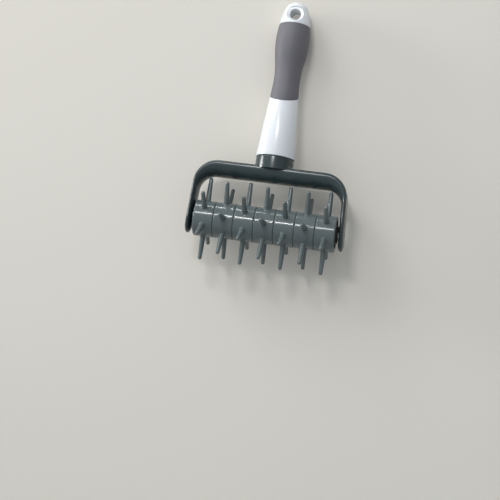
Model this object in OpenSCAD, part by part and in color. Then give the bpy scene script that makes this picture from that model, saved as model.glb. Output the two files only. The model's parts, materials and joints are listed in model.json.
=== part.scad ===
// Dough docker: a roller of spiked rings in a U-shaped yoke with a straight handle.
// It lies on a table on its spikes and the underside of the grip. +Y runs along the
// handle, X is the roller's axis, +Z is up, and the origin is under its middle.

/* [Rings] */
// Number of spiked rings on the roller
ring_count = 7; // [3:1:9]
// Width of one ring
ring_w = 15; // [12:0.5:20]
// Radius of a ring's outer face
ring_r = 13.3; // [12.4:0.1:15]
// Radius of a ring's rounded outer edges
ring_edge = 0.9; // [0.3:0.1:1.2]
// Thickness of the rim that carries the spikes
rim_t = 2.6; // [2:0.1:3.4]
// Thickness of the web that joins the rim to the hub
web_t = 3; // [2:0.5:6]
// Thickness of the hub wall round the core
hub_wall = 2.2; // [1.6:0.1:3]
// Thickness of the ribs that back the spikes
rib_t = 1.6; // [1:0.1:2.4]
// Depth of the ribs' edges below a ring's end faces
rib_drop = 1.5; // [0.5:0.1:3]

/* [Spikes] */
// Spikes around one ring
spike_count = 6; // [4:1:8]
// Radius that the spike tips reach
tip_reach = 30.8; // [26:0.2:36]
// Diameter of a spike above its foot
spike_base_d = 4; // [3.2:0.1:5.6]
// Diameter of a spike's rounded tip
spike_tip_d = 2.9; // [1.8:0.1:3.2]
// Width and height of the flare at a spike's foot
spike_flare = 0.5; // [0.2:0.1:1]
// Turn of the roller at rest, from a spike that lies level
roller_phase = -6; // [-15:0.5:15]

/* [Roller core] */
// Radius of the core tube that the rings slide onto
core_r = 4.8; // [4.4:0.1:5.6]
// Radius of the core tube's bore
core_bore_r = 3.3; // [3:0.1:3.7]
// Height of the core's splines
spline_h = 0.7; // [0.4:0.1:1]
// Width of the core's splines
spline_w = 1.2; // [0.8:0.1:1.4]
// Diameter of the hub flanges that hold the rings together
flange_d = 12.8; // [12.2:0.1:14]
// Length of a bush inside the core tube
plug_l = 10; // [6:1:14]
// Diameter of the steel axle
axle_d = 4; // [3:0.5:4.5]

/* [Yoke] */
// Width of the yoke's band, along the roller's rim
yoke_w = 21; // [16:0.5:26]
// Thickness of the cross bar
bar_t = 11; // [8:0.1:12]
// Thickness of the arms
arm_t = 4.2; // [2.6:0.1:5]
// Outward lean of the arms, in degrees
splay = 3; // [0:0.1:4]
// Radius of the yoke's outer corners
corner_out_r = 18; // [14:0.5:22]
// Radius of the yoke's inner corners
corner_in_r = 12; // [8:0.5:15]
// Radius of the bar's outer edges
yoke_edge = 2.4; // [1:0.1:3.4]
// Reach of the bar's crowned inner edges, across its thickness
crown_reach = 7.4; // [3:0.1:7.6]
// Depth of the crowned edges, across the band's width
crown_depth = 10; // [4:0.1:10.4]
// Distance from the axle to the arms' rounded ends
arm_end = 12; // [9:0.1:14]
// Length over which the arms thin towards their ends
arm_nose = 5; // [2:0.5:6]
// Space between the ring stack and each arm at the axle
arm_gap = 1.9; // [1.5:0.1:4]
// Distance from the axle ends in to the arms' outer faces
axle_recess = 0.3; // [0.2:0.1:0.6]

/* [Collar] */
// Diameter of the collar that meets the handle
collar_d = 28.2; // [24:0.2:30]
// Length of the collar behind the bar
collar_l = 7.6; // [6:0.1:12]
// Radius of the fillet where the collar meets the bar
collar_fillet = 2; // [1:0.1:3]
// Radius of the collar's rounded rim
collar_edge = 1; // [0.4:0.1:1.6]
// Length of the tang inside the handle
tang_l = 34; // [24:1:40]
// Radius of the tang
tang_r = 7.2; // [6:0.1:7.6]
// Thickness of the tang's cross ribs
tang_rib = 3; // [2:0.1:4]

/* [Handle] */
// Length of the handle behind the collar
handle_l = 120; // [114:1:128]
// Diameter of the handle at the collar
front_d = 29.2; // [26:0.2:32]
// Distance from the collar to the waist
waist_at = 60; // [56:1:64]
// Diameter of the waist
waist_d = 19.6; // [19:0.2:21]
// Distance from the collar to the palm swell
swell_at = 90; // [86:1:92]
// Diameter of the palm swell
swell_d = 25.2; // [24:0.2:26.4]
// Radius of the palm swell's long curve
swell_arc = 80; // [76:1:84]
// Radius of the rounded butt
nose_r = 7; // [6:0.1:8]
// Radius of the handle's hollow
hollow_r = 5.8; // [5:0.1:6]

/* [Grip] */
// Thickness of the soft grip
grip_t = 2.2; // [1.6:0.1:2.4]
// Distance from the collar to the grip's front edge at the handle's sides
grip_at = 47; // [44:1:52]
// Slant of the grip's front edge, in degrees
grip_slant = 24; // [0:1:34]
// Length of the end cap behind the grip
cap_l = 18; // [17:0.5:20]
// Length of the end cap's plug
cap_plug_l = 9; // [6:1:12]
// Radius of the hanging hole
hang_r = 4; // [3:0.1:4.4]
// Distance from the butt to the hanging hole
hang_at = 10.5; // [10:0.1:11]
// Thickness of the land round the hanging hole
hang_land = 14; // [12:0.5:14.5]
// Width of the seat sunk round the hanging hole
hang_seat = 2.2; // [1:0.1:2.4]

/* [Fits] */
// Running clearance between axle and bush
run_gap = 0.05; // [0.02:0.01:0.1]
// Clearance of parts that are pushed together
push_gap = 0.05; // [0.02:0.01:0.15]
// Play of the roller at each arm
end_play = 0.25; // [0.1:0.05:0.5]
// Space between the spike tips and the cross bar
bar_clear = 1.4; // [1.2:0.1:6]

/* [Hidden] */

// Facets round a full turn
turn = 96;
// Facets on small rounds and on the balls at the spike tips
small = 32;
// Overlap of solids that are fused, and reach of cuts past a face
lap = 1;

// Roller
stack = ring_count * ring_w;
spike_step = 360 / spike_count;
tip_r = spike_tip_d / 2;
tip_ball = tip_reach - tip_r;
spline_count = 2 * spike_count;
hub_r = core_r + push_gap + hub_wall;
axle_r = axle_d / 2;
flange_r = flange_d / 2;
flange_l = arm_gap - flange_r * tan(splay) - end_play;

// Yoke, in the handle's frame with the axle at the origin
bar_inner = tip_reach + bar_clear;
bar_outer = bar_inner + bar_t;
arm_inner_x = stack / 2 + arm_gap;
collar_r = collar_d / 2;
collar_y = bar_outer + collar_l;
corner_steps = 12;
edge_steps = 7;

// Handle outline, as arcs that meet in tangents
front_r = front_d / 2;
waist_r = waist_d / 2;
swell_r = swell_d / 2;
waist_y = collar_y + waist_at;
swell_y = collar_y + swell_at;
butt_y = collar_y + handle_l;
rise = swell_r - waist_r;
run = swell_y - waist_y;
waist_arc = (run * run + rise * rise) / (2 * rise) - swell_arc;
waist_mid = waist_r + waist_arc;
swell_mid = swell_r - swell_arc;
to_mid = norm([waist_y - collar_y, waist_mid - front_r]);
taper = atan2(waist_mid - front_r, waist_y - collar_y) - asin(waist_arc / to_mid);
blend = asin(run / (waist_arc + swell_arc));
nose_y = butt_y - nose_r;
nose_from = asin((nose_y - swell_y) / (swell_arc - nose_r));
nose_mid = swell_mid + (swell_arc - nose_r) * cos(nose_from);
grip_y = collar_y + grip_at;
cap_y = butt_y - cap_l;
socket_y = collar_y + tang_l + lap;
hang_y = butt_y - hang_at;

// Pose on the table: the lowest spike tip and the palm swell both touch it
axle_z = tip_ball * cos(roller_phase) + tip_r;
swell_to_axle = norm([swell_y, swell_mid]);
tilt = asin((axle_z - swell_arc) / swell_to_axle) + atan2(-swell_mid, swell_y);
reach_back = nose_y * cos(tilt) + nose_mid * sin(tilt) + nose_r;
axle_y = (axle_z - reach_back) / 2;

// Points along an arc, from the angle that faces outwards
function arc(y, r, radius, from, to, steps) =
    [for (k = [0:steps]) let (a = from + (to - from) * k / steps)
        [r + radius * cos(a), y + radius * sin(a)]];

// The handle's outline from collar to butt, moved inwards by inset
function outline(inset) = concat(
    [[front_r - inset * cos(taper), collar_y + inset * sin(taper)]],
    arc(waist_y, waist_mid, -(waist_arc + inset), -taper, -blend, 8),
    arc(swell_y, swell_mid, swell_arc - inset, -blend, nose_from, 12),
    arc(nose_y, nose_mid, nose_r - inset, nose_from, 90, 8)
);

// X of an arm's inner face at a height above the axle
function arm_x(y) = arm_inner_x - y * tan(splay);

// Middle of a corner arc that touches the arm's face and the bar's face
function corner_mid(x_at_axle, top, radius) =
    [x_at_axle - radius / cos(splay) - (top - radius) * tan(splay), top - radius];

// A station of the yoke's band: its inner point, its outer point and half its width
function tip_station(a) = let (
    y = -arm_end * sin(a),
    thinned = max(0, 1 - (arm_end + y) / arm_nose),
    t = arm_t / cos(splay),
    inset = t / 2 * (1 - sqrt(1 - thinned * thinned))
) [[arm_x(y) + inset, y], [arm_x(y) + t - inset, y], yoke_w / 2 * cos(a)];

function corner_station(a) = let (
    inner = corner_mid(arm_inner_x, bar_inner, corner_in_r),
    outer = corner_mid(arm_inner_x + arm_t / cos(splay), bar_outer, corner_out_r)
) [inner + corner_in_r * [cos(a), sin(a)], outer + corner_out_r * [cos(a), sin(a)], yoke_w / 2];

// A station's outline between its two points: crowned inside, and outside too where the band is thin
function section(s) = let (
    t = norm(s[1] - s[0]),
    across = (s[1] - s[0]) / t,
    edge = min(yoke_edge, 0.46 * t),
    reach = min(crown_reach * t / bar_t, 0.96 * (t - edge)),
    inner_depth = min(crown_depth, 0.92 * s[2]),
    outer_depth = min(yoke_edge * bar_t / t, inner_depth)
) [for (q = [0:3]) for (k = [0:edge_steps]) let (
    a = 90 * (q + k / edge_steps),
    outer = q == 0 || q == 3,
    depth = outer ? outer_depth : inner_depth,
    u = outer ? t - edge + edge * cos(a) : reach + reach * cos(a),
    v = (q < 2 ? 1 : -1) * (s[2] - depth) + depth * sin(a)
) [s[0][0] + across[0] * u, s[0][1] + across[1] * u, v]];

// The mirrored section of the left side, with its points in the right side's order
function section_back(s) = section([[-s[0][0], s[0][1]], [-s[1][0], s[1][1]], s[2]]);

// A closed solid through a list of sections that have the same number of points
module skin(sections) {
    n = len(sections[0]);
    last = len(sections) - 1;
    sides = [for (i = [0:last - 1]) for (j = [0:n - 1]) for (half = [0, 1])
        let (a = i * n + j, b = i * n + (j + 1) % n)
            half == 0 ? [a, b, a + n] : [b, b + n, a + n]];
    start = [for (j = [n - 1:-1:0]) j];
    end = [for (j = [0:n - 1]) last * n + j];
    polyhedron(points = [for (s = sections) each s], faces = concat(sides, [start, end]));
}

// Moves children from the handle's frame to where they lie on the table
module lie_down() translate([0, axle_y, axle_z]) rotate([-tilt, 0, 0]) children();

// Turns children round the roller's axis, with their +Z along +X
module on_roller(turned = 0) {
    translate([0, axle_y, axle_z]) rotate([roller_phase + turned, 0, 0]) rotate([0, 90, 0]) children();
}

// Spins a half outline, given as radius and distance along the handle, round the handle's axis
module spin_handle() rotate([-90, 0, 0]) rotate_extrude($fn = turn) children();

// The side of the grip's slanted front edge that faces the collar
module before_grip() {
    size = 2 * handle_l;
    translate([0, grip_y, 0]) rotate([grip_slant, 0, 0]) translate([-size / 2, -size, -size / 2]) cube(size);
}

// Part of the handle's outline, inset, between two distances from the axle
module outline_between(inset, from, to) {
    intersection() {
        polygon(concat([[0, collar_y - lap]], outline(inset), [[0, butt_y - inset]]));
        translate([0, from]) square([front_d, to - from]);
    }
}

module band() {
    tips = [for (a = [84, 78, 72, 66, 60, 50, 40, 30, 20, 10, 0]) tip_station(a)];
    corner = [for (k = [0:corner_steps]) corner_station(splay + (90 - splay) * k / corner_steps)];
    right = concat(tips, corner);
    skin([for (s = right) section(s), for (i = [len(right) - 1:-1:0]) section_back(right[i])]);
}

module collar() {
    foot = bar_outer - lap;
    spin_handle() union() {
        translate([0, foot]) square([collar_r, collar_y - collar_edge - foot]);
        translate([0, foot]) square([collar_r - collar_edge, collar_y - foot]);
        translate([collar_r - collar_edge, collar_y - collar_edge]) circle(collar_edge, $fn = small);
    }
    intersection() {
        spin_handle() difference() {
            translate([collar_r - lap, foot]) square([collar_fillet + lap, collar_fillet + lap]);
            translate([collar_r + collar_fillet, bar_outer + collar_fillet]) circle(collar_fillet, $fn = turn);
        }
        flat_w = yoke_w - 2 * yoke_edge;
        translate([-collar_d, foot, -flat_w / 2]) cube([2 * collar_d, collar_l, flat_w]);
    }
}

module tang() {
    lead = 1.5;
    intersection() {
        spin_handle() polygon([
            [0, collar_y - lap],
            [tang_r, collar_y - lap],
            [tang_r, collar_y + tang_l - lead],
            [tang_r - lead, collar_y + tang_l],
            [0, collar_y + tang_l]
        ]);
        union() {
            translate([-tang_r, 0, -tang_rib / 2]) cube([2 * tang_r, butt_y, tang_rib]);
            translate([-tang_rib / 2, 0, -tang_r]) cube([tang_rib, butt_y, 2 * tang_r]);
            rotate([-90, 0, 0]) cylinder(r = tang_r / 2, h = butt_y, $fn = small);
        }
    }
}

module yoke() color("#4c575c") lie_down() {
    difference() {
        union() {
            band();
            collar();
            tang();
        }
        rotate([0, 90, 0]) cylinder(r = axle_r, h = 4 * arm_inner_x, center = true, $fn = turn);
    }
}

module axle() color("#b9bdc0") lie_down() {
    half = arm_inner_x + arm_t / cos(splay) - axle_r * tan(splay) - axle_recess;
    rotate([0, 90, 0]) cylinder(r = axle_r, h = 2 * half, center = true, $fn = turn);
}

module handle() color("#eef1f2") lie_down() {
    difference() {
        union() {
            intersection() {
                spin_handle() outline_between(0, collar_y, butt_y);
                before_grip();
            }
            spin_handle() outline_between(grip_t, collar_y + lap, cap_y);
        }
        translate([0, collar_y - lap, 0]) rotate([-90, 0, 0])
            cylinder(r = tang_r + push_gap, h = socket_y - collar_y + lap, $fn = turn);
        translate([0, collar_y, 0]) rotate([-90, 0, 0]) cylinder(r = hollow_r, h = handle_l, $fn = turn);
    }
}

module grip() color("#6b6a72") lie_down() {
    difference() {
        spin_handle() outline_between(0, grip_y - front_d, cap_y);
        before_grip();
        spin_handle() outline_between(grip_t - push_gap, collar_y, cap_y + lap);
    }
}

module end_cap() color("#eef1f2") lie_down() {
    difference() {
        union() {
            spin_handle() outline_between(0, cap_y, butt_y + lap);
            translate([0, cap_y - cap_plug_l, 0]) rotate([-90, 0, 0])
                cylinder(r = hollow_r - push_gap, h = cap_plug_l + lap, $fn = turn);
        }
        translate([0, hang_y, 0]) cylinder(r = hang_r, h = swell_d, center = true, $fn = turn);
        for (side = [-1, 1]) translate([0, hang_y, side * (hang_land + swell_d) / 2])
            cylinder(r = hang_r + hang_seat, h = swell_d, center = true, $fn = turn);
    }
}

module core() color("#26282a") on_roller() {
    difference() {
        union() {
            cylinder(r = core_r, h = stack, center = true, $fn = turn);
            for (i = [0:spline_count - 1]) rotate([0, 0, i * 360 / spline_count])
                translate([core_r - lap, -spline_w / 2, -stack / 2]) cube([spline_h + lap, spline_w, stack]);
        }
        cylinder(r = core_bore_r, h = stack + 2 * lap, center = true, $fn = turn);
    }
}

module bush() {
    difference() {
        union() {
            cylinder(r = flange_r, h = flange_l, $fn = turn);
            translate([0, 0, -plug_l]) cylinder(r = core_bore_r - push_gap, h = plug_l + flange_l / 2, $fn = turn);
        }
        translate([0, 0, -plug_l - lap]) cylinder(r = axle_r + run_gap, h = plug_l + flange_l + 2 * lap, $fn = turn);
    }
}

module bush_left() color("#1b1c1e") on_roller() mirror([0, 0, 1]) translate([0, 0, stack / 2]) bush();

module bush_right() color("#1b1c1e") on_roller() translate([0, 0, stack / 2]) bush();

// One spike, with its axis along +X
module spike() rotate([0, 90, 0]) {
    base_r = spike_base_d / 2;
    foot = ring_r - rim_t / 2;
    rotate_extrude($fn = small) polygon([
        [0, foot],
        [base_r + spike_flare, foot],
        [base_r + spike_flare, ring_r - spike_flare / 2],
        [base_r, ring_r + spike_flare],
        [tip_r, tip_ball],
        [0, tip_ball]
    ]);
    translate([0, 0, tip_ball]) sphere(tip_r, $fn = small);
}

module ring_profile() {
    rim_in = ring_r - rim_t;
    bore = core_r + push_gap;
    translate([rim_in, -ring_w / 2]) square([rim_t - ring_edge, ring_w]);
    translate([rim_in, ring_edge - ring_w / 2]) square([rim_t, ring_w - 2 * ring_edge]);
    for (side = [-1, 1]) translate([ring_r - ring_edge, side * (ring_w / 2 - ring_edge)])
        circle(ring_edge, $fn = small);
    translate([bore, -web_t / 2]) square([rim_in - bore + lap, web_t]);
    translate([bore, -ring_w / 2]) square([hub_wall, ring_w]);
}

module ring(i) color("#5d666c") on_roller(i % 2 == 0 ? 0 : spike_step / 2) {
    translate([0, 0, (i - (ring_count + 1) / 2) * ring_w]) difference() {
        union() {
            rotate_extrude($fn = turn) ring_profile();
            for (k = [0:spike_count - 1]) rotate([0, 0, k * spike_step]) {
                spike();
                translate([hub_r - lap / 2, -rib_t / 2, rib_drop - ring_w / 2])
                    cube([ring_r - rim_t - hub_r + lap, rib_t, ring_w - 2 * rib_drop]);
            }
        }
        for (k = [0:spline_count - 1]) rotate([0, 0, k * 360 / spline_count])
            translate([core_r - lap, -spline_w / 2 - push_gap, -ring_w / 2 - lap])
                cube([spline_h + push_gap + lap, spline_w + 2 * push_gap, ring_w + 2 * lap]);
    }
}

yoke();
axle();
handle();
grip();
end_cap();
core();
bush_left();
bush_right();
for (i = [1:ring_count]) ring(i);
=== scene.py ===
import json
import math

import bpy
from mathutils import Matrix, Vector


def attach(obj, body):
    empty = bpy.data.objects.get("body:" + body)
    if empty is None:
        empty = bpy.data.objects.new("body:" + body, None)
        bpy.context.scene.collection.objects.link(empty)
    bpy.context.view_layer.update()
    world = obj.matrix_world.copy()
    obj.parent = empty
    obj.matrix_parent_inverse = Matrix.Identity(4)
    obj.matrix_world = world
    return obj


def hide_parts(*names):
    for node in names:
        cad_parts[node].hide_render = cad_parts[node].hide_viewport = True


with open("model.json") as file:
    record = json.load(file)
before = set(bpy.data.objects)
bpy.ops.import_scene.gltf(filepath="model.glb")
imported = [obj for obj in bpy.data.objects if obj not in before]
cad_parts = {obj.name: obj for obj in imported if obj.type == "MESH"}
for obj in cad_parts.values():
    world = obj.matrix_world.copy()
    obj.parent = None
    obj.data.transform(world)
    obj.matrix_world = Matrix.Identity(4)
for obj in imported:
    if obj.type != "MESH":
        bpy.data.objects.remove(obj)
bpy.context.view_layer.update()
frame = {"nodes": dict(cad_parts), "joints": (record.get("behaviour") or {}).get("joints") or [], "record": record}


# View
# The camera stands a metre from the roller, as a short telephoto held over the worktop. The axle's middle
# lies a little right of and above the middle of the picture, and the roller's right end is further away.
axle_point = Vector(frame["joints"][0]["pos_m"])
camera_distance = 1.0
camera_aim = Vector((-0.0113, -0.0176, camera_distance))
camera_turn = (
    Matrix.Rotation(math.radians(-7.35), 3, "Z")
    @ Matrix.Rotation(math.radians(-8.2), 3, "Y")
    @ Matrix.Rotation(math.radians(-0.75), 3, "X")
)
camera_axes = camera_turn.transposed()

bpy.ops.object.camera_add()
camera = bpy.context.object
camera.name = "camera"
camera.data.sensor_width = 36
camera.data.lens = 98
camera.matrix_world = Matrix.Translation(axle_point + camera_axes @ camera_aim) @ camera_axes.to_4x4()
bpy.context.scene.camera = camera
bpy.context.scene.view_settings.view_transform = "Standard"


# Worktop and studio light
# A plain worktop, painted matt, lies under four lamps in a pale studio. The walls are palest behind on the
# left and dim towards the front on the right, so that the spikes' far sides fall into shade.
def srgb(hex_colour):
    """A colour written as it looks on screen, such as "4c575c", turned to linear light."""
    parts = [int(hex_colour[i:i + 2], 16) / 255 for i in (0, 2, 4)]
    return [c / 12.92 if c <= 0.04045 else ((c + 0.055) / 1.055) ** 2.4 for c in parts] + [1.0]


def add_node(tree, kind, links=None, **settings):
    """Adds a node. Settings are its properties or input values, links its inputs' sources."""
    made = tree.nodes.new("ShaderNode" + kind)
    for name, value in settings.items():
        if hasattr(made, name):
            setattr(made, name, value)
        else:
            made.inputs[name.replace("_", " ")].default_value = value
    for name, source in (links or {}).items():
        tree.links.new(source, made.inputs[name])
    return made


def start_material(name):
    """An empty material and its node tree."""
    made = bpy.data.materials.new(name)
    made.use_nodes = True
    made.node_tree.nodes.clear()
    return made, made.node_tree


worktop_size = 60.0
worktop_colour = "dfdbd2"
bpy.ops.mesh.primitive_plane_add(size=worktop_size)
worktop = bpy.context.object
worktop.name = "worktop"

# Matt paint: warm, pale and without gloss, so that it only takes the tool's soft shadow.
worktop_paint, tree = start_material("matt_worktop_paint")
shader = add_node(
    tree, "BsdfPrincipled",
    Base_Color=srgb(worktop_colour), Roughness=0.9, Specular_IOR_Level=0.1,
)
add_node(tree, "OutputMaterial", {"Surface": shader.outputs["BSDF"]})
worktop.data.materials.append(worktop_paint)


def add_light(name, place, along, size, power, spread=180):
    """A rectangular lamp at a place seen from the roller, in metres, with its long side along a direction."""
    place = Vector(place)
    back = place.normalized()
    side = Vector(along) - back * back.dot(along)
    side.normalize()
    bpy.ops.object.light_add(type="AREA")
    lamp = bpy.context.object
    lamp.name = name
    lamp.data.shape = "RECTANGLE"
    lamp.data.size, lamp.data.size_y = size
    lamp.data.energy = power
    lamp.data.spread = math.radians(spread)
    turn = Matrix((side, back.cross(side), back)).transposed()
    lamp.matrix_world = Matrix.Translation(axle_point + place) @ turn.to_4x4()


# The narrow strip draws the bright line along the roller and the bar, the soft square models the spikes, and
# the two low lamps trace the arms' edges and the roller's upper shoulder. Grids narrow these three, so that
# they don't burn out the worktop.
add_light("strip_overhead", (-0.155, 0.562, 0.945), (0.219, -0.084, 0.068), (0.27, 0.06), 2.8)
add_light("soft_behind_left", (-1.38, 1.56, 1.03), (1, 1, 0), (1.0, 1.0), 3.0, spread=80)
add_light("low_left", (-1.45, 0.32, 0.22), (0, 1, 0), (0.4, 0.3), 1.1, spread=60)
add_light("low_behind", (-0.42, 1.43, 0.06), (1, 0, 0), (0.4, 0.10), 0.37, spread=60)

wall_colour = "e9edf2"
palest_side = (-0.80, 0.45, 0.40)
dimmest_wall = 0.25
palest_wall = 0.8

world = bpy.data.worlds.new("studio")
world.use_nodes = True
tree = world.node_tree
tree.nodes.clear()
outwards = add_node(tree, "TexCoord").outputs["Generated"]
facing = add_node(tree, "VectorMath", {0: outwards}, operation="DOT_PRODUCT")
facing.inputs[1].default_value = palest_side
level = add_node(
    tree, "MapRange", {"Value": facing.outputs["Value"]},
    From_Min=-1.0, To_Min=dimmest_wall, To_Max=palest_wall,
)
walls = add_node(tree, "Background", {"Strength": level.outputs["Result"]}, Color=srgb(wall_colour))
add_node(tree, "OutputWorld", {"Surface": walls.outputs["Background"]})
bpy.context.scene.world = world


# Spiked rings
# Seven identical mouldings in grey acetal, each a rim, a web and a hub with six tapered spikes, slid onto
# the splined core. Every second one is turned by half a step, so that the spikes prick in staggered rows.
MM = 0.001
ring_count = 7
ring_w = 15.0
ring_r = 13.3
ring_edge = 0.9
rim_in = ring_r - 2.6
rim_chamfer = 0.2
web_t = 3.0
bore_r = 4.85
ring_hub_r = 7.05
rib_t = 1.6
rib_drop = 1.5
spike_count = 6
spike_base_r = 2.0
spike_tip_r = 1.45
spike_reach = 30.8
spike_fillet = 0.6
spike_root = ring_r - 1.6
keyway_w = 1.3
keyway_top = 5.55
roller_phase = math.radians(-6)
lap = 1.0  # how far shapes reach into each other before they are fused or cut


def arc(mid_r, mid_s, radius, start, end, steps):
    """Points (r, s) along an arc, with angles in degrees from the outward direction."""
    angles = [math.radians(start + (end - start) * k / steps) for k in range(steps + 1)]
    return [(mid_r + radius * math.cos(a), mid_s + radius * math.sin(a)) for a in angles]


def start_piece(name):
    """A new object that holds one point, open in edit mode."""
    if bpy.context.object and bpy.context.object.mode != "OBJECT":
        bpy.ops.object.mode_set(mode="OBJECT")
    bpy.ops.object.select_all(action="DESELECT")
    bpy.ops.mesh.primitive_plane_add(size=1)
    piece = bpy.context.object
    piece.name = name
    piece.data.name = name
    bpy.ops.object.mode_set(mode="EDIT")
    bpy.ops.mesh.select_mode(type="VERT")
    bpy.ops.mesh.select_all(action="SELECT")
    bpy.ops.mesh.merge(type="CENTER")
    return piece


def draw(points):
    """Moves the one selected point to the first of points and extrudes it through the rest."""
    at = Vector((0, 0, 0))
    for k, point in enumerate(points):
        step = Vector(point) - at
        if k == 0:
            bpy.ops.transform.translate(value=step)
        else:
            bpy.ops.mesh.extrude_region_move(TRANSFORM_OT_translate={"value": step})
        at = Vector(point)


def lathe(name, outline, along, out, steps=128):
    """A piece turned from an outline of (radius, place along the axis) points."""
    along, out = Vector(along), Vector(out)
    piece = start_piece(name)
    draw([out * r + along * s for r, s in outline])
    bpy.ops.mesh.select_all(action="SELECT")
    bpy.ops.mesh.spin(steps=steps, angle=math.tau, use_auto_merge=True, center=(0, 0, 0), axis=along)
    bpy.ops.mesh.select_all(action="SELECT")
    bpy.ops.mesh.remove_doubles(threshold=0.001)
    bpy.ops.mesh.normals_make_consistent(inside=False)
    bpy.ops.object.mode_set(mode="OBJECT")
    return piece


def combine(piece, other, operation):
    """Cuts, fuses or overlaps a piece with another one, and removes the other."""
    cut = piece.modifiers.new(operation.lower(), "BOOLEAN")
    cut.operation = operation
    cut.object = other
    cut.solver = "EXACT"
    bpy.ops.object.select_all(action="DESELECT")
    bpy.context.view_layer.objects.active = piece
    bpy.ops.object.modifier_apply(modifier=cut.name)
    bpy.data.objects.remove(other)
    bpy.ops.object.mode_set(mode="EDIT")
    bpy.ops.mesh.select_all(action="SELECT")
    bpy.ops.mesh.remove_doubles(threshold=0.0005)
    bpy.ops.object.mode_set(mode="OBJECT")


def around(piece, count, axis):
    """Repeats a piece round an axis and joins the copies into it."""
    copies = []
    for k in range(1, count):
        copy = piece.copy()
        copy.data = piece.data.copy()
        copy.data.transform(Matrix.Rotation(math.tau * k / count, 4, axis))
        bpy.context.collection.objects.link(copy)
        copies.append(copy)
    bpy.ops.object.select_all(action="DESELECT")
    for each in [piece] + copies:
        each.select_set(True)
    bpy.context.view_layer.objects.active = piece
    bpy.ops.object.join()
    return piece


def block(name, low, high):
    """A rectangular block between two corners, used to cut or to fuse."""
    low, high = Vector(low), Vector(high)
    bpy.ops.object.select_all(action="DESELECT")
    bpy.ops.mesh.primitive_cube_add(size=1, location=(low + high) / 2, scale=high - low)
    bpy.ops.object.transform_apply()
    made = bpy.context.object
    made.name = name
    return made


smooth_below = math.radians(35)


def settle(piece, placement, material, body, slot, *nodes):
    """Smooths a finished piece, moves it from millimetres in its own frame to its place, and signs it in."""
    bpy.ops.object.select_all(action="DESELECT")
    piece.select_set(True)
    bpy.context.view_layer.objects.active = piece
    piece.matrix_world = placement
    bpy.ops.object.transform_apply(location=True, rotation=True, scale=True)
    bpy.ops.object.shade_smooth_by_angle(angle=smooth_below)
    piece.data.materials.clear()
    piece.data.materials.append(material)
    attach(piece, body)
    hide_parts(*nodes)


# The melt's flow clouds a moulding's colour over about 18 mm. The mould's skin is finer than a tenth of a
# millimetre and wouldn't show, so the grain is drawn some five times coarser, at 0.35 to 0.8 mm.
cloud_mm = 18.0


def moulded_plastic(name, colour, shade, roughness, grain_mm, grain_depth):
    """Injection-moulded plastic: a colour that clouds a little where the melt flowed, and the mould's skin."""
    made, tree = start_material(name)
    place = add_node(tree, "TexCoord").outputs["Object"]
    clouds = add_node(tree, "TexNoise", {"Vector": place}, Scale=1 / (cloud_mm * MM), Detail=2.0)
    mix = add_node(tree, "Mix", {"Factor": clouds.outputs["Fac"]}, data_type="RGBA")
    mix.inputs[6].default_value = srgb(colour)
    mix.inputs[7].default_value = srgb(shade)
    grain = add_node(tree, "TexNoise", {"Vector": place}, Scale=1 / (grain_mm * MM), Detail=3.0)
    bump = add_node(tree, "Bump", {"Height": grain.outputs["Fac"]}, Strength=0.35, Distance=grain_depth * MM)
    wear = add_node(
        tree, "MapRange", {"Value": clouds.outputs["Fac"]},
        To_Min=roughness * 0.85, To_Max=roughness * 1.15,
    )
    shader = add_node(
        tree, "BsdfPrincipled",
        {"Base Color": mix.outputs[2], "Normal": bump.outputs["Normal"], "Roughness": wear.outputs["Result"]},
        IOR=1.48,
    )
    add_node(tree, "OutputMaterial", {"Surface": shader.outputs["BSDF"]})
    return made


along_x, along_y, up_z = (1, 0, 0), (0, 1, 0), (0, 0, 1)
half_w = ring_w / 2
loop_gap = 0.2  # from the rounded edge to a second loop, which keeps the rim's shading even
flat_from = -half_w + ring_edge + loop_gap
left_side = (
    [(bore_r, -half_w), (ring_hub_r, -half_w), (ring_hub_r, -web_t / 2)]
    + [(rim_in, -web_t / 2), (rim_in, -half_w + rim_chamfer), (rim_in + rim_chamfer, -half_w)]
    + arc(ring_r - ring_edge, -half_w + ring_edge, ring_edge, -90, 0, 5)
    + [(ring_r, flat_from)]
)
ring_outline = left_side + [(r, -s) for r, s in left_side[::-1]] + left_side[:1]
ring_body = lathe("ring_body", ring_outline, along_x, up_z, steps=96)

spike_outline = (
    [(0, spike_root), (spike_base_r + spike_fillet, spike_root)]
    + arc(spike_base_r + spike_fillet, ring_r + spike_fillet, spike_fillet, -90, -180, 5)
    + arc(0, spike_reach - spike_tip_r, spike_tip_r, 3, 90, 6)
)
spikes = lathe("spikes", spike_outline, up_z, along_x, steps=32)
for vertex in spikes.data.vertices:
    sink = ring_r - math.sqrt(ring_r ** 2 - vertex.co.y ** 2)
    vertex.co.z -= sink * min(1, max(0, (ring_r + spike_fillet - vertex.co.z) / spike_fillet))
around(spikes, spike_count, "X")

rib_low = (rib_drop - half_w, -rib_t / 2, ring_hub_r - lap / 2)
rib_high = (half_w - rib_drop, rib_t / 2, rim_in + lap / 2)
ribs = around(block("ribs", rib_low, rib_high), spike_count, "X")
keyway_low = (-ring_w, -keyway_w / 2, bore_r - lap)
keyway_high = (ring_w, keyway_w / 2, keyway_top)
keyways = around(block("keyways", keyway_low, keyway_high), 2 * spike_count, "X")
combine(ring_body, spikes, "UNION")
combine(ring_body, ribs, "UNION")
combine(ring_body, keyways, "DIFFERENCE")

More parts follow.
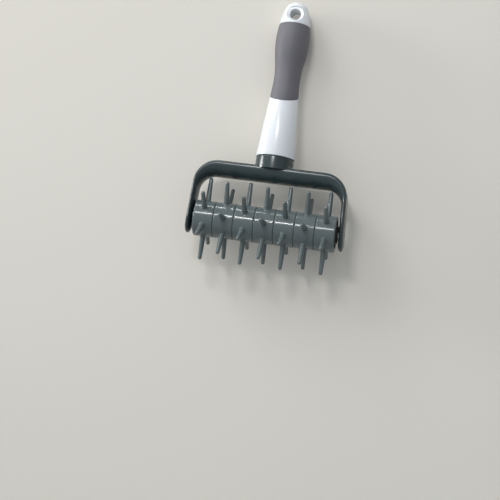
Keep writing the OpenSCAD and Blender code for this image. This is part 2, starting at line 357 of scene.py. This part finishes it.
# Polished acetal: waxy and a little glossy, so it carries one narrow bright line and dulls off softly below it.
ring_plastic = moulded_plastic("glossy_grey_acetal", "616b6c", "586263", 0.16, 0.5, 0.006)
ring_meshes = [ring_body.data.copy() for _ in range(ring_count)]
bpy.data.objects.remove(ring_body)
for i in range(ring_count):
    ring = bpy.data.objects.new(f"spiked_ring_{i + 1}", ring_meshes[i])
    bpy.context.collection.objects.link(ring)
    turned = roller_phase + (math.pi / spike_count if i % 2 == 0 else 0)
    beside = Vector(((i - (ring_count - 1) / 2) * ring_w, 0, 0))
    seat = (
        Matrix.Translation(axle_point) @ Matrix.Scale(MM, 4)
        @ Matrix.Translation(beside) @ Matrix.Rotation(turned, 4, "X")
    )
    settle(ring, seat, ring_plastic, "roller", "ring_plastic", f"ring_{i + 1}")


# Core, bushes and axle
# The black core keys the rings together, a flanged black bush closes each end of it, and both run on a
# ground stainless rod that is pressed into the yoke's arms with its ends just below the surface.
flange_r = 6.4
flange_l = 1.31
flange_round = 0.4
plug_r = 3.25
plug_l = 10.0
plug_chamfer = 0.3
bush_bore_r = 2.05
bore_chamfer = 0.2
axle_r = 2.0
axle_half = 58.2
axle_chamfer = 0.3
stack_half = ring_count * ring_w / 2
mark_mm = 8.0
mark_stretch = 40

# Matt near-black acetal with a broad faint sheen. The black also paints the shade in the gaps at the roller's
# ends.
black_acetal_and_gap_shade = moulded_plastic("matt_black_acetal", "17181a", "1d1e20", 0.45, 0.4, 0.02)
bush_outline = (
    [(bush_bore_r, -plug_l), (plug_r - plug_chamfer, -plug_l), (plug_r, -plug_l + plug_chamfer)]
    + [(plug_r, 0), (flange_r, 0)]
    + arc(flange_r - flange_round, flange_l - flange_round, flange_round, 0, 90, 4)
    + [(bush_bore_r + bore_chamfer, flange_l), (bush_bore_r, flange_l - bore_chamfer)]
    + [(bush_bore_r, -plug_l)]
)
on_roller = Matrix.Translation(axle_point) @ Matrix.Scale(MM, 4)
for side, name in ((-1, "left"), (1, "right")):
    bush = lathe(f"hub_{name}", bush_outline, (side, 0, 0), up_z, steps=64)
    settle(
        bush, on_roller @ Matrix.Translation((side * stack_half, 0, 0)),
        black_acetal_and_gap_shade, "roller", "bush_plastic", f"bush_{name}",
    )
core = frame["nodes"]["core"]
core.data.materials.clear()
core.data.materials.append(black_acetal_and_gap_shade)

# Ground stainless rod: bright, with fine marks 8 mm long and 0.2 mm wide along it, so that its ends glint.
steel, tree = start_material("ground_stainless_rod")
place = add_node(tree, "TexCoord").outputs["Object"]
stretch = add_node(tree, "Mapping", {"Vector": place}, Scale=(1, mark_stretch, mark_stretch))
marks = add_node(tree, "TexNoise", {"Vector": stretch.outputs["Vector"]}, Scale=1 / (mark_mm * MM), Detail=4.0)
bump = add_node(tree, "Bump", {"Height": marks.outputs["Fac"]}, Strength=0.3, Distance=0.01 * MM)
shader = add_node(
    tree, "BsdfPrincipled", {"Normal": bump.outputs["Normal"]},
    Base_Color=srgb("c3c6c9"), Metallic=1.0, Roughness=0.28,
)
add_node(tree, "OutputMaterial", {"Surface": shader.outputs["BSDF"]})
rod = lathe(
    "axle_rod",
    [(0, -axle_half), (axle_r - axle_chamfer, -axle_half), (axle_r, -axle_half + axle_chamfer),
     (axle_r, axle_half - axle_chamfer), (axle_r - axle_chamfer, axle_half), (0, axle_half)],
    along_x, up_z, steps=48,
)
settle(rod, on_roller, steel, "holder", "axle_steel", "axle")


# Yoke
# One moulding in glossy blue-grey ABS. A thick cross bar thins through its corners into two flat arms that
# lean out a little, and a round collar behind the bar carries the tang that is pushed into the handle.
yoke_w = 21.0
bar_near = 32.2
bar_far = 43.2
arm_t = 4.2
arm_x = 54.4
splay = math.radians(3.0)
corner_far_r = 18.0
corner_near_r = 12.0
far_edge_r = 2.4
crown_reach = 7.4
crown_depth = 10.0
arm_end = 12.0
arm_nose = 5.0
collar_r = 14.1
collar_end = 50.8
collar_rim_r = 1.0
collar_fillet_r = 2.0
tang_r = 7.2
tang_l = 34.0
tang_rib = 3.0
tang_lead = 1.5
nose_angles = (86, 83, 80, 77, 74, 71, 68, 65, 60, 55, 50, 45, 40, 35, 30, 20, 10, 0)
corner_steps = 24
past_collar = 40.0
past_arms = 80.0

handle_axis = frame["record"]["mounts"][0]["axis"]
tilt = math.atan2(handle_axis[1], handle_axis[2])
on_table = Matrix.Translation(axle_point) @ Matrix.Rotation(-tilt, 4, "X") @ Matrix.Scale(MM, 4)


def corner_point(x_at_axle, top, radius, angle):
    """A point on the corner arc that joins a leaning arm's face to the bar's face."""
    mid_y = top - radius
    mid_x = x_at_axle - radius / math.cos(splay) - mid_y * math.tan(splay)
    return Vector((mid_x + radius * math.cos(angle), mid_y + radius * math.sin(angle), 0))


def band_section(near, far, half, steps=6):
    """The band's outline at one place: crowned on its near side, and on its far side too where it is thin.

    The shares keep each rounding a little short of meeting the next, so that no edge has no length.
    """
    thick = (far - near).length
    edge = min(far_edge_r, 0.46 * thick)
    reach = min(crown_reach * thick / (bar_far - bar_near), 0.96 * (thick - edge))
    near_depth = min(crown_depth, 0.92 * half)
    far_depth = min(far_edge_r * (bar_far - bar_near) / thick, near_depth)
    points = []
    for quarter in range(4):
        is_far = quarter in (0, 3)
        depth = far_depth if is_far else near_depth
        mid_u, wide = (thick - edge, edge) if is_far else (reach, reach)
        mid_v = (half - depth) * (1 if quarter < 2 else -1)
        for k in range(steps + 1):
            angle = math.pi / 2 * (quarter + k / steps)
            u, v = mid_u + wide * math.cos(angle), mid_v + depth * math.sin(angle)
            points.append(near + (far - near) * (u / thick) + Vector((0, 0, v)))
    return points + points[:1]


arm_across = Vector((arm_t / math.cos(splay), 0, 0))
stations = []
for angle in [math.radians(a) for a in nose_angles]:
    y = -arm_end * math.sin(angle)
    thinned = max(0, 1 - (arm_end + y) / arm_nose)
    inset = arm_across * (1 - math.sqrt(1 - thinned ** 2)) / 2
    face = Vector((arm_x - y * math.tan(splay), y, 0))
    stations.append((face + inset, face + arm_across - inset, yoke_w / 2 * math.cos(angle)))
for k in range(corner_steps + 1):
    angle = splay + (math.pi / 2 - splay) * k / corner_steps
    near = corner_point(arm_x, bar_near, corner_near_r, angle)
    far = corner_point(arm_x + arm_across.x, bar_far, corner_far_r, angle)
    stations.append((near, far, yoke_w / 2))
to_left = Matrix.Diagonal((-1, 1, 1))
stations += [(to_left @ near, to_left @ far, half) for near, far, half in stations[::-1]]

yoke = start_piece("yoke_frame")
for k, (near, far, half) in enumerate(stations):
    if k:
        bpy.ops.mesh.select_all(action="DESELECT")
        bpy.ops.mesh.primitive_plane_add(size=1)
        bpy.ops.mesh.merge(type="CENTER")
    draw(band_section(near, far, half))
bpy.ops.mesh.select_all(action="SELECT")
bpy.ops.mesh.remove_doubles(threshold=0.001)
bpy.ops.mesh.bridge_edge_loops()
bpy.ops.mesh.select_all(action="SELECT")
bpy.ops.mesh.fill_holes(sides=0)
bpy.ops.mesh.select_all(action="SELECT")
bpy.ops.mesh.normals_make_consistent(inside=False)
bpy.ops.object.mode_set(mode="OBJECT")

collar = lathe(
    "collar",
    [(0, bar_far - 2 * lap), (collar_r, bar_far - 2 * lap)]
    + arc(collar_r - collar_rim_r, collar_end - collar_rim_r, collar_rim_r, 0, 90, 6)
    + [(0, collar_end)],
    along_y, up_z,
)
foot = lathe(
    "collar_foot",
    [(collar_r - lap, bar_far - lap), (collar_r + collar_fillet_r, bar_far - lap)]
    + arc(collar_r + collar_fillet_r, bar_far + collar_fillet_r, collar_fillet_r, -90, -180, 8)
    + [(collar_r - lap, bar_far + collar_fillet_r), (collar_r - lap, bar_far - lap)],
    along_y, up_z,
)
flat_w = yoke_w / 2 - far_edge_r
band_low, band_high = (-past_collar, bar_far - 2 * lap, -flat_w), (past_collar, collar_end, flat_w)
combine(foot, block("band_width", band_low, band_high), "INTERSECT")
tang_start, tang_end = collar_end - lap, collar_end + tang_l
tang = block("tang", (-tang_r, tang_start, -tang_rib / 2), (tang_r, tang_end, tang_rib / 2))
combine(tang, block("rib", (-tang_rib / 2, tang_start, -tang_r), (tang_rib / 2, tang_end, tang_r)), "UNION")
stem_outline = [(0, tang_start), (tang_r / 2, tang_start), (tang_r / 2, tang_end), (0, tang_end)]
combine(tang, lathe("stem", stem_outline, along_y, up_z, steps=32), "UNION")
lead_in = lathe(
    "lead_in",
    [(0, tang_start), (tang_r, tang_start), (tang_r, tang_end - tang_lead),
     (tang_r - tang_lead, tang_end), (0, tang_end)],
    along_y, up_z,
)
combine(tang, lead_in, "INTERSECT")
bore_outline = [(0, -past_arms), (axle_r, -past_arms), (axle_r, past_arms), (0, past_arms)]
bore = lathe("axle_bore", bore_outline, along_x, up_z, steps=48)
combine(yoke, collar, "UNION")
combine(yoke, foot, "UNION")
combine(yoke, tang, "UNION")
combine(yoke, bore, "DIFFERENCE")

# Glossy ABS from a polished mould: dark, with soft-edged reflections that run along the crowned bar.
yoke_plastic = moulded_plastic("glossy_bluegrey_abs", "323f42", "2c3839", 0.22, 0.6, 0.006)
settle(yoke, on_table, yoke_plastic, "holder", "yoke_plastic", "yoke")


# Handle, grip and end cap
# A hollow white ABS moulding tapers from the collar. A grey elastomer grip is moulded over its rear half,
# with a slanted front edge, and a white cap with the hanging hole closes the butt.
front_r = 14.6
waist_r = 9.8
swell_r = 12.6
waist_y = collar_end + 60
swell_y = collar_end + 90
butt_y = collar_end + 120
swell_arc = 80.0
nose_r = 7.0
grip_t = 2.2
neck_y = collar_end + 5
grip_y = collar_end + 47
grip_slant = math.radians(24)
cap_y = butt_y - 18
cap_plug_l = 9.0
push_gap = 0.05
hollow_r = 5.8
socket_r = tang_r + push_gap
lip_round = 0.4
slant_round = 0.3
slant_room = 20.0
hang_y = butt_y - 10.5
hang_r = 4.0
hang_land = 14.0
hang_round = 0.6
hang_seat_r = 6.2
hang_reach = 20.0

rise, run = swell_r - waist_r, swell_y - waist_y
waist_arc = (run ** 2 + rise ** 2) / (2 * rise) - swell_arc
waist_mid, swell_mid = waist_r + waist_arc, swell_r - swell_arc
to_mid = math.hypot(waist_y - collar_end, waist_mid - front_r)
taper = math.degrees(math.atan2(waist_mid - front_r, waist_y - collar_end) - math.asin(waist_arc / to_mid))
blend = math.degrees(math.asin(run / (waist_arc + swell_arc)))
nose_y = butt_y - nose_r
nose_from = math.degrees(math.asin((nose_y - swell_y) / (swell_arc - nose_r)))
nose_mid = swell_mid + (swell_arc - nose_r) * math.cos(math.radians(nose_from))


def handle_outline(inset, start, end, start_edge=0.0, end_edge=0.0):
    """The handle's outline, moved inwards by inset, between two distances from the axle, with rounded edges."""
    lean = math.radians(taper)
    whole = (
        [(front_r - inset * math.cos(lean), collar_end + inset * math.sin(lean))]
        + arc(waist_mid, waist_y, -(waist_arc + inset), -taper, -blend, 24)
        + arc(swell_mid, swell_y, swell_arc - inset, -blend, nose_from, 36)
        + arc(nose_mid, nose_y, nose_r - inset, nose_from, 90, 12)[1:]
    )

    def radius_at(s):
        before = [p for p in whole if p[1] <= s][-1]
        after = [p for p in whole if p[1] >= s][0]
        share = (s - before[1]) / ((after[1] - before[1]) or 1)
        return before[0] + share * (after[0] - before[0])

    inner = [p for p in whole if start + start_edge < p[1] < end - end_edge]
    first = arc(radius_at(start + start_edge) - start_edge, start + start_edge, start_edge, -90, 0, 4)
    if end >= butt_y - inset:
        return [(0, start)] + first + inner + [(0, butt_y - inset)]
    last = arc(radius_at(end - end_edge) - end_edge, end - end_edge, end_edge, 0, 90, 4)
    return [(0, start)] + first + inner + last + [(0, end)]


def select_edges(piece, wanted):
    """Selects the edges whose two ends pass a test, in edit mode."""
    bpy.ops.mesh.select_mode(type="EDGE")
    bpy.ops.mesh.select_all(action="DESELECT")
    bpy.ops.object.mode_set(mode="OBJECT")
    points = piece.data.vertices
    for edge in piece.data.edges:
        edge.select = all(wanted(points[v].co) for v in edge.vertices)
    bpy.ops.object.mode_set(mode="EDIT")


def cut_slanted(piece, keep_front):
    """Cuts a piece at the grip's slanted front edge, keeps one side and softens the cut's corner."""
    bpy.context.view_layer.objects.active = piece
    bpy.ops.object.mode_set(mode="EDIT")
    bpy.ops.mesh.select_all(action="SELECT")
    normal = Vector((0, math.cos(grip_slant), math.sin(grip_slant)))
    bpy.ops.mesh.bisect(
        plane_co=(0, grip_y, 0), plane_no=normal, use_fill=True,
        clear_outer=keep_front, clear_inner=not keep_front,
    )
    select_edges(piece, lambda p: abs((p - Vector((0, grip_y, 0))).dot(normal)) < 0.001)
    bpy.ops.mesh.bevel(offset=slant_round, segments=3, affect="EDGES")
    bpy.ops.object.mode_set(mode="OBJECT")


def round_bar(name, radius, start, end):
    """A plain round bar along the handle, used to bore or to fuse."""
    return lathe(name, [(0, start), (radius, start), (radius, end), (0, end)], along_y, up_z)


shell_outline = handle_outline(0, collar_end, grip_y + slant_room, start_edge=lip_round)
shell = lathe("handle_shell", shell_outline, along_y, up_z)
cut_slanted(shell, keep_front=True)
combine(shell, lathe("under_grip", handle_outline(grip_t, neck_y, cap_y), along_y, up_z), "UNION")
combine(shell, round_bar("socket", socket_r, collar_end - lap, tang_end + lap), "DIFFERENCE")
combine(shell, round_bar("hollow", hollow_r, tang_end, butt_y), "DIFFERENCE")

# Glossy ABS: a clean cool white, with one soft highlight along its taper.
white_abs = moulded_plastic("glossy_white_abs", "e0e5e9", "dbdfe3", 0.2, 0.8, 0.006)
settle(shell, on_table, white_abs, "holder", "handle_plastic", "handle")

sleeve_outline = handle_outline(0, grip_y - slant_room, cap_y, end_edge=lip_round)
sleeve = lathe("soft_grip", sleeve_outline, along_y, up_z)
cut_slanted(sleeve, keep_front=False)
inside_outline = handle_outline(grip_t - push_gap, grip_y - 1.5 * slant_room, cap_y + 2 * lap)
combine(sleeve, lathe("inside", inside_outline, along_y, up_z), "DIFFERENCE")

# Soft-touch elastomer with a fine moulded grain: dull and even, with no sharp highlight, so it reads as rubber.
grip_rubber = moulded_plastic("soft_touch_elastomer", "6b6a70", "636268", 0.55, 0.35, 0.04)
settle(sleeve, on_table, grip_rubber, "holder", "grip_rubber", "grip")

plug_end = cap_y - cap_plug_l
cap_plug_r = hollow_r - push_gap
plug_outline = [(0, plug_end), (cap_plug_r - lip_round, plug_end)]
plug_outline += [(cap_plug_r, plug_end + lip_round), (cap_plug_r, cap_y)]
cap_outline = handle_outline(0, cap_y, butt_y + lap, start_edge=lip_round)
cap = lathe("butt_cap", plug_outline + cap_outline[1:], along_y, up_z)
hole_outline = (
    [(0, -hang_reach), (hang_seat_r, -hang_reach), (hang_seat_r, -hang_land / 2)]
    + arc(hang_r + hang_round, hang_round - hang_land / 2, hang_round, -90, -180, 4)
)
hole_outline += [(r, -s) for r, s in hole_outline[::-1]]
hole = lathe("hanging_hole", hole_outline, up_z, along_x, steps=64)
hole.data.transform(Matrix.Translation((0, hang_y, 0)))
combine(cap, hole, "DIFFERENCE")
settle(cap, on_table, white_abs, "holder", "handle_plastic", "end_cap")
